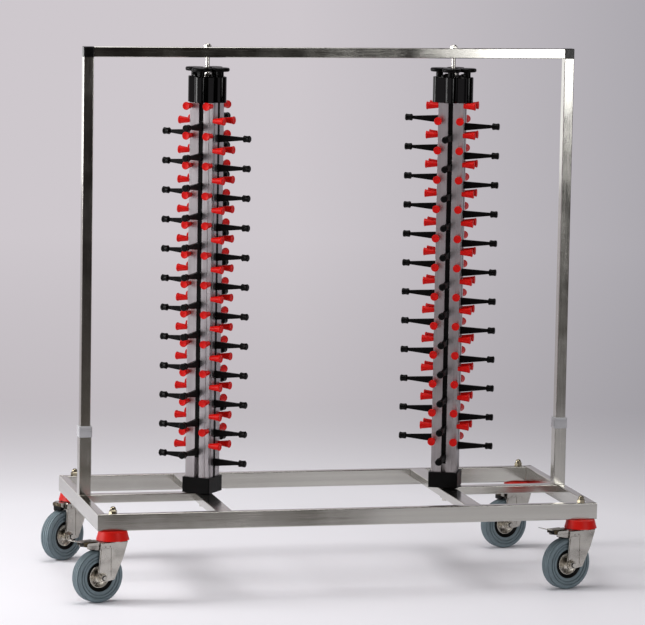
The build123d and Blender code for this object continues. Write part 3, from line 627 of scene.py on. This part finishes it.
def wheel(name):
    """A wheel's three pieces, each in place of the CAD node that it stands for."""
    joint = joints[f"{name}_wheel_spin"]
    axis = Vector(joint["axis"])
    place = frame_at(Vector(joint["pos_m"]), up, axis.cross(up), axis)
    for part, made_name, profile, steps in (
        ("tyre", "tyre_ring", tyre_profile(), 96),
        ("rim", "rim_ring", rim_profile(), 72),
        ("hub", "hub_discs", hub_profile(), 72),
    ):
        shape = placed(turned(profile, steps), place)
        piece(f"{name}_{made_name}", shape, f"{name}_wheel", part, (f"{name}_{part}",))


for name in caster_names:
    wheel(name)

# Caster fittings: brake levers and ribbed hoods in front, closed hoods behind, nuts on the axles.
# Outlines are (x, z) points in millimetres: back from the swivel's axis, and up from the floor.

lever_side = millimetres([(36, 129), (87, 139), (87, 148), (52, 148.8), (52, 139), (36, 139)])
lever_top = millimetres([(52, 146.9), (87, 146.1), (87, 148.1), (52, 148.9)])
lever_pad = millimetres([(66, 137.5), (85.8, 140.7), (86.2, 146.4), (66, 146.8)])
lever_blade = millimetres([
    (84, 146.3), (88, 146.6), (117.2, 153.6), (118, 154.4), (117.4, 155.3), (88, 148.3),
    (84, 148.1),
])
brake_shoe = millimetres([
    (48.2, 128.8), (52, 128.3), (56.5, 127.4), (61, 126.1), (61, 146.6), (48.2, 146.6),
])
hood_rib = millimetres([(49, 137.4), (79, 138.1), (79, 139.1), (49, 138.6)])
stop_block = millimetres([
    (46.5, 129.2), (50, 128.7), (55, 127.6), (59.4, 126.4), (60, 127.2), (60, 136.8),
    (57.7, 136.8), (57.7, 143.6), (46.5, 143.6),
])
hood_end = millimetres([
    (59.4, 137.2), (60.9, 137.2), (60.9, 143.8), (60.2, 144.6), (59.4, 144.8),
])
lever_half = 16.4 * mm
lever_t = 2 * mm
blade_half = 10 * mm
shoe_half = 13 * mm
rib_proud = 0.5 * mm
block_half = 12.7 * mm
hood_end_half = 14.7 * mm
hood_end_x = 60.9 * mm
stop_screw_z = 142 * mm
stop_screw_r = 3.6 * mm
stop_screw_h = 1.8 * mm
thin_bevel = 0.3 * mm
block_bevel = 0.8 * mm


def caster_frame(name):
    """A frame on the swivel's axis at the floor: X the way the wheel trails, Y along the axle."""
    swivel = Vector(joints[f"{name}_swivel_turn"]["pos_m"])
    along = Vector(joints[f"{name}_wheel_spin"]["axis"])
    return frame_at(Vector((swivel.x, swivel.y, 0)), along.cross(up), along, up)


def brake_lever(name):
    """A folded channel with a pad in it, a bent blade and a shoe, and the ribs of the hood."""
    place = caster_frame(name)
    body = f"{name}_pedal"
    channel = joined([
        prism(lever_side, lever_half - lever_t, lever_half),
        prism(lever_side, -lever_half, -lever_half + lever_t),
        prism(lever_top, -lever_half, lever_half),
    ])
    piece(f"{name}_lever", placed(channel, place), body, "lever", (f"{name}_brake_pedal",))
    pad = prism(lever_pad, -lever_half + lever_t, lever_half - lever_t)
    piece(f"{name}_lever_pad", placed(pad, place), body, "rim")
    blade = prism(lever_blade, -blade_half, blade_half, thin_bevel)
    piece(f"{name}_lever_blade", placed(blade, place), body, "zinc")
    shoe = prism(brake_shoe, -shoe_half, shoe_half, block_bevel)
    piece(f"{name}_brake_shoe", placed(shoe, place), body, "rim")
    rib_in, rib_out = hood_half - hood_t / 2, hood_half + rib_proud
    ribs = joined([
        prism(hood_rib, rib_in, rib_out, thin_bevel),
        prism(hood_rib, -rib_out, -rib_in, thin_bevel),
    ])
    piece(f"{name}_hood_ribs", placed(ribs, place), f"{name}_swivel", "zinc")


def screw_head(radius, height):
    """A low domed head with a round recess, standing on Z = 0."""
    recess = height * 0.3
    return turned([
        (0, 0),
        (radius, 0),
        (radius, height * 0.4),
        (radius * 0.7, height),
        (radius * 0.4, height),
        (radius * 0.34, recess),
        (0, recess),
    ], steps=24)


def hood_stop(name):
    """The dark block under a closed hood, the hood's end plate, and the screw that holds both."""
    place = caster_frame(name)
    body = f"{name}_swivel"
    block = prism(stop_block, -block_half, block_half, block_bevel)
    piece(f"{name}_stop_block", placed(block, place), body, "rim")
    plate = prism(hood_end, -hood_end_half, hood_end_half)
    piece(f"{name}_hood_end", placed(plate, place), body, "lever")
    spot = place @ Vector((hood_end_x, 0, stop_screw_z))
    outwards, across = place.col[0].to_3d(), place.col[1].to_3d()
    head = placed(screw_head(stop_screw_r, stop_screw_h), frame_at(spot, across, up, outwards))
    piece(f"{name}_stop_screw", head, body, "dome_nut")


axle_seat = leg_outer + leg_panel_t
washer_r = 12 * mm
washer_h = 1.5 * mm
washer_edge = 0.5 * mm
lock_corner = hexagon_corner(17.8 * mm)
lock_foot = 1.2 * mm
lock_hex_top = 7.4 * mm
lock_chamfer_w = 1.5 * mm
lock_chamfer_h = 1 * mm
lock_ring_r = 6.9 * mm
lock_ring_foot = 7 * mm
lock_top = 9.2 * mm
insert_drop = 0.9 * mm
insert_in_r = axle_r + 0.1 * mm
insert_out_r = lock_ring_r - 0.2 * mm


def lock_nut():
    """A washer, a chamfered hexagon and the ring that holds the insert, as three shapes."""
    washer = turned([
        (axle_r, 0),
        (washer_r, 0),
        (washer_r, washer_h - washer_edge),
        (washer_r - washer_edge, washer_h),
        (axle_r, washer_h),
    ], steps=48)
    nut = hexagon([
        (axle_r, lock_foot),
        (lock_corner, lock_foot),
        (lock_corner, lock_hex_top - lock_chamfer_h),
        (lock_corner - lock_chamfer_w, lock_hex_top),
        (axle_r, lock_hex_top),
    ])
    ring = turned([
        (lock_ring_r, lock_ring_foot),
        (lock_ring_r + 1.4 * mm, lock_ring_foot),
        (lock_ring_r + 1.2 * mm, lock_top - 0.3 * mm),
        (lock_ring_r + 0.8 * mm, lock_top),
        (lock_ring_r, lock_top),
    ], steps=40)
    return [washer, nut, ring]


def axle_ends(name):
    """On both ends of the axle bolt: a washer, and a lock nut with a dark insert in its ring."""
    joint = joints[f"{name}_wheel_spin"]
    origin, axis = Vector(joint["pos_m"]), Vector(joint["axis"])
    insert_top = lock_top - insert_drop
    insert = turned(rod(insert_in_r, insert_out_r, lock_ring_foot, insert_top), steps=40)
    bright, dark = [], []
    for outwards in (axis, -axis):
        place = frame_at(origin + outwards * axle_seat, up, outwards.cross(up), outwards)
        bright += [placed(shape, place) for shape in lock_nut()]
        dark.append(placed(insert, place))
    piece(f"{name}_axle_nuts", joined(bright), f"{name}_swivel", "hub")
    piece(f"{name}_axle_inserts", joined(dark), f"{name}_swivel", "rim")


for name in caster_names:
    axle_ends(name)
    if name in braked:
        brake_lever(name)
    else:
        hood_stop(name)

# Caster mounts on the frame: a disc under the rail, the king bolt, and a dome nut on top

dome_corner = hexagon_corner(17 * mm)
dome_hex_h = 9 * mm
dome_r = 7.2 * mm
dome_wall = 2 * mm
dome_h = 7 * mm
dome_sunk = 1 * mm
dome_steps = 8
king_drop = 7.3 * mm
king_proud = 11 * mm
king_corner = hexagon_corner(19 * mm)
king_head_h = 7 * mm


def dome_nut():
    """A chamfered hexagon with a smaller dome, standing on Z = 0."""
    nut = hexagon([
        (0, 0),
        (dome_corner - 0.8 * mm, 0),
        (dome_corner, 0.8 * mm),
        (dome_corner, dome_hex_h - 1.2 * mm),
        (dome_corner - 1.9 * mm, dome_hex_h),
        (0, dome_hex_h),
    ])
    dome_foot = dome_hex_h + dome_wall
    dome = [(0, dome_hex_h - dome_sunk), (dome_r, dome_hex_h - dome_sunk), (dome_r, dome_foot)]
    for step in range(1, dome_steps + 1):
        angle = right_angle * step / dome_steps
        dome.append((dome_r * math.cos(angle), dome_foot + dome_h * math.sin(angle)))
    return joined([nut, turned(dome, steps=40)])


def mount_disc():
    """The disc under the rail, rounded at its upper edge, with its top at Z = 0."""
    return turned([
        (king_r, -mount_t),
        (mount_r, -mount_t),
        (mount_r, -1.4 * mm),
        (mount_r - 0.5 * mm, -0.5 * mm),
        (mount_r - 1.6 * mm, 0),
        (king_r, 0),
    ], steps=72)


def king_bolt():
    """The bolt's shank and its head in the fork's crown, with the rail's foot at Z = 0."""
    foot = crown_z - king_drop - frame_low
    shank = turned(rod(0, king_r, foot, frame_high - frame_low + king_proud), steps=24)
    head = hexagon([
        (0, foot),
        (king_corner - 1.2 * mm, foot),
        (king_corner, foot + 0.9 * mm),
        (king_corner, foot + king_head_h - 0.6 * mm),
        (king_corner - 0.6 * mm, foot + king_head_h),
        (0, foot + king_head_h),
    ])
    return joined([shank, head])


discs, bolts, nuts = [], [], []
for name in caster_names:
    swivel = Vector(joints[f"{name}_swivel_turn"]["pos_m"])
    under = Matrix.Translation((swivel.x, swivel.y, frame_low))
    discs.append(placed(mount_disc(), under))
    bolts.append(placed(king_bolt(), under))
    nuts.append(placed(dome_nut(), Matrix.Translation((swivel.x, swivel.y, frame_high))))
piece("mount_discs", joined(discs), "base", "red_skirt", ("caster_mounts",))
piece("king_bolts", joined(bolts), "base", "zinc")
piece("mount_dome_nuts", joined(nuts), "base", "dome_nut")

# Collars with two grooves round them

collar_round = 2.5 * mm
collar_gap = 0.1 * mm
collar_edge = 0.8 * mm
collar_groove = 0.9 * mm
collar_groove_w = 1 * mm
groove_side = 0.5 * mm
collar_groove_z = (14.5 * mm, 19.3 * mm)


def collar():
    """A square collar standing on Z = 0."""
    outer = collar_w / 2
    inner = post_w / 2 + collar_gap
    profile = [(inner, 0), (outer - collar_edge, 0), (outer, collar_edge)]
    for foot in collar_groove_z:
        top = foot + collar_groove_w
        profile += [
            (outer, foot - groove_side),
            (outer - collar_groove, foot),
            (outer - collar_groove, top),
            (outer, top + groove_side),
        ]
    profile += [
        (outer, collar_h - 2.2 * mm),
        (outer - 0.5 * mm, collar_h - 0.8 * mm),
        (outer - 1.6 * mm, collar_h),
        (inner, collar_h),
    ]
    return squared(profile, outer, collar_round)


post_middles = {}
for side in (-1, 1):
    post_low, post_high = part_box("left_post" if side < 0 else "right_post")
    post_middles[side] = (post_low + post_high) / 2

socket_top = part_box("post_sockets")[1].z
collars = [
    placed(collar(), Matrix.Translation((middle.x, middle.y, socket_top)))
    for middle in post_middles.values()
]
piece("post_collar_rings", joined(collars), "base", "white_plastic",
      ("post_collars",))

# Weld beads where the tubes of the frame meet

weld_r = 0.9 * mm
mitre_weld_r = 0.6 * mm
weld_pitch = 2.2 * mm
weld_waist = 0.82  # the radius between two ripples, as a part of the bead's
least_ripples = 4
mitre_reach = (0.05, 0.95)
socket_reach = 0.96
corner_end = 1 * mm
cross_end = 0.5 * mm


def bead(start, end, radius=weld_r):
    """A weld bead between two points, with the ripples that a weld has."""
    start, end = Vector(start), Vector(end)
    length = (end - start).length
    turn = (end - start).to_track_quat("Z", "X").to_matrix().to_4x4()
    count = max(least_ripples, int(length / weld_pitch) * 2)
    profile = [(0, 0)]
    for step in range(1, count):
        swell = radius if step % 2 else radius * weld_waist
        profile.append((swell, length * step / count))
    profile.append((0, length))
    return placed(turned(profile, steps=10), Matrix.Translation(start) @ turn)


def corner_beads(side, front):
    """Across the mitre of a corner, and down inside it."""
    corner = centre + Vector((side * frame_l / 2, front * frame_d / 2, frame_high))
    inwards = Vector((-side * rail_w, -front * rail_w, 0))
    outer_end, inner_end = (corner + inwards * share for share in mitre_reach)
    inside = corner + inwards
    return [
        bead(outer_end, inner_end, mitre_weld_r),
        bead(inside - up * corner_end, inside - up * (rail_h - corner_end)),
    ]


def cross_beads(side):
    """Down both edges of a cross member at each of its ends."""
    made = []
    for edge in (-1, 1):
        for front in (-1, 1):
            x = side * column_x + edge * cross_w / 2
            top = centre + Vector((x, front * (frame_d / 2 - rail_w), frame_high))
            made.append(bead(top - up * cross_end, top - up * (cross_h - cross_end)))
    return made


def socket_beads(side):
    """Round three sides of a post's socket, on the rail and the stub."""
    half = socket_w / 2
    reach = half * socket_reach
    x, y = post_middles[side].x, centre.y
    inside = x - side * half
    return [
        bead((x - reach, y - half, frame_high), (x + reach, y - half, frame_high)),
        bead((x - reach, y + half, frame_high), (x + reach, y + half, frame_high)),
        bead((inside, y - reach, frame_high), (inside, y + reach, frame_high)),
    ]


beads = []
for side in (-1, 1):
    for front in (-1, 1):
        beads += corner_beads(side, front)
for side in (-1, 1):
    beads += cross_beads(side) + socket_beads(side)
piece("frame_welds", joined(beads), "base", "weld")

# Stage, world and lamps

# The sweep's tones at the picture's left and right edges: the darker right is painted shade.
backdrop_left = srgb(206, 200, 205)
backdrop_right = srgb(172, 169, 175)
dark_room = srgb(50, 41, 35)
side_wall = srgb(150, 144, 144)
view_spread = 0.085  # half the width of the picture, as a part of the distance
sweep_start = -0.1 * view_spread
ambient = 0.26
ambient_color = (1, 0.99, 1, 1)
back_range = (-0.15, 0.2)  # Y of a direction where the sweep behind the rack begins and is full
top_range = (0.45, 0.8)  # Z of a direction where the sweep and the side wall fade out
left_range = (-0.5, -0.2)  # X of a direction where the side wall on the left fades out

floor_reach = 60.0
floor_range = (1.2, 3.0)  # metres from the middle over which the floor turns into the backdrop
glow_dip = 0.86  # the backdrop's brightness on the floor near the rack
dip_range = (2.5, 8.0)  # metres over which it rises to that of the sweep
room_floor_near = (98, 92, 86)
room_floor_far = (42, 34, 28)
room_floor_lift = 2 * mm
room_range = (-2.6, -5.0)  # Y over which the room's floor darkens
room_left = -1.6
sheet_edge = [(60.0, -2.6), (0.5, -2.4), (0.3, -1.1), (-1.6, -1.1)]  # (x, y) in metres
panel_left, panel_right = -5.0, -1.4
panel_y = 9.0
panel_foot, panel_top = 0.15, 1.6
panel_glow = 1.5


class WorldPaint(Paint):
    """The world's tree, with the same short calls."""

    output = "World Output"

    def __init__(self, world):
        world.use_nodes = True
        self.tree = world.node_tree
        self.place = self.tree.nodes.new("ShaderNodeTexCoord").outputs["Generated"]


def backdrop(paint, direction):
    """The sweep's colour in a direction, with painted shade that darkens it towards the picture's right edge."""
    across = paint.operate("VectorMath", "DOT_PRODUCT", direction, flat_right)["Value"]
    share = paint.mapped(across, 0, 1, sweep_start, view_spread)
    return paint.blend(share, backdrop_left, backdrop_right)


def make_world():
    """A pale sweep behind the rack in a dark room, and even light from all round."""
    world = bpy.data.worlds.new("studio")
    bpy.context.scene.world = world
    paint = WorldPaint(world)
    path = paint.node("LightPath").outputs
    mirrors = paint.add(path["Is Glossy Ray"], path["Is Transmission Ray"])
    seen = paint.add(path["Is Camera Ray"], mirrors)
    axes = paint.node("SeparateXYZ", Vector=paint.place).outputs
    behind = paint.mapped(axes["Y"], 0, 1, *back_range)
    under_top = paint.mapped(axes["Z"], 1, 0, *top_range)
    left = paint.mapped(axes["X"], 1, 0, *left_range)
    front = paint.blend(paint.times(left, under_top), dark_room, side_wall)
    shown = paint.blend(paint.times(behind, under_top), front, backdrop(paint, paint.place))
    picture = paint.node("Background", Color=shown, Strength=1.0).outputs["Background"]
    light = paint.node("Background", Color=ambient_color, Strength=ambient).outputs["Background"]
    paint.show(paint.mixed(seen, light, picture))


def card(name, corners, paint, mirrors_only=False):
    """A flat piece of the studio, which only mirrors see if so asked."""
    mesh = bpy.data.meshes.new(name)
    mesh.from_pydata(corners, [], [tuple(range(len(corners)))])
    made = bpy.data.objects.new(name, mesh)
    bpy.context.scene.collection.objects.link(made)
    mesh.materials.append(paint.material)
    if mirrors_only:
        made.visible_camera = False
        made.visible_diffuse = False
        made.visible_shadow = False


def make_floor():
    """A wide pale floor that keeps the rack's shadow and further out fades into a glow in the backdrop's colour,
    with its painted shade, dimmed as painted shade nearer the rack.
    """
    paint = Paint("floor", (240, 238, 243), 0.6)
    grit = paint.noise(paint.place, scale=3, detail=4)
    paint.use("Base Color", paint.shade(grit, 0.01))
    far = paint.operate("VectorMath", "LENGTH", paint.place)["Value"]
    fade = paint.mapped(far, 0, 1, *floor_range)
    from_view = paint.operate("VectorMath", "SUBTRACT", paint.place, view_place)["Vector"]
    heading = paint.operate("VectorMath", "NORMALIZE", from_view)["Vector"]
    # The glow is painted light: the sweep's colour with its painted shade, dimmer nearer the rack.
    dip = paint.mapped(far, glow_dip, 1.0, *dip_range)
    glow = paint.node("Emission", Color=backdrop(paint, heading), Strength=dip).outputs["Emission"]
    paint.show(paint.mixed(fade, paint.shader.outputs["BSDF"], glow))
    square = ((-1, -1), (1, -1), (1, 1), (-1, 1))
    card("floor", [(x * floor_reach, y * floor_reach, 0) for x, y in square], paint)


def make_room_floor():
    """The room's floor in front of the pale sheet, darker further off, which only mirrors see."""
    paint = Paint("room_floor", room_floor_far, 0.9)
    depth = paint.node("SeparateXYZ", Vector=paint.place).outputs["Y"]
    away = paint.mapped(depth, 0, 1, *room_range)
    paint.use("Base Color", paint.blend(away, srgb(*room_floor_near), paint.color))
    outline = [(room_left, -floor_reach), (floor_reach, -floor_reach), *sheet_edge]
    card("room_floor", [(x, y, room_floor_lift) for x, y in outline], paint, mirrors_only=True)


def make_back_panel():
    """A bright panel behind on the left, outside the picture, which only mirrors see."""
    paint = Paint("back_panel", (255, 255, 255), 0.9)
    paint.show(paint.node("Emission", Color=(1, 1, 1, 1), Strength=panel_glow).outputs["Emission"])
    card("back_panel", [
        (panel_left, panel_y, panel_foot),
        (panel_right, panel_y, panel_foot),
        (panel_right, panel_y, panel_top),
        (panel_left, panel_y, panel_top),
    ], paint, mirrors_only=True)


def make_lamp(name, place, target, width, height, power):
    """A rectangular soft box that faces a target."""
    data = bpy.data.lights.new(name, "AREA")
    data.shape = "RECTANGLE"
    data.size = width
    data.size_y = height
    data.energy = power
    lamp = bpy.data.objects.new(name, data)
    aim = Vector(target) - Vector(place)
    turn = aim.to_track_quat("-Z", "Y").to_matrix().to_4x4()
    lamp.matrix_world = Matrix.Translation(place) @ turn
    bpy.context.scene.collection.objects.link(lamp)


make_world()
make_floor()
make_room_floor()
make_back_panel()
make_lamp("left_box", (-3.3, 0.34, 1.55), (-0.3, 0, 1.2), width=1.35, height=1.7, power=94)
make_lamp("right_box", (2.95, -6.0, 1.68), (0, 0, 0.9), width=1.75, height=1.85, power=57)
make_lamp("top_box", (-0.4, -0.2, 4.2), (0, 0, 0), width=3.0, height=2.2, power=95)

bpy.context.scene.view_settings.view_transform = "Standard"
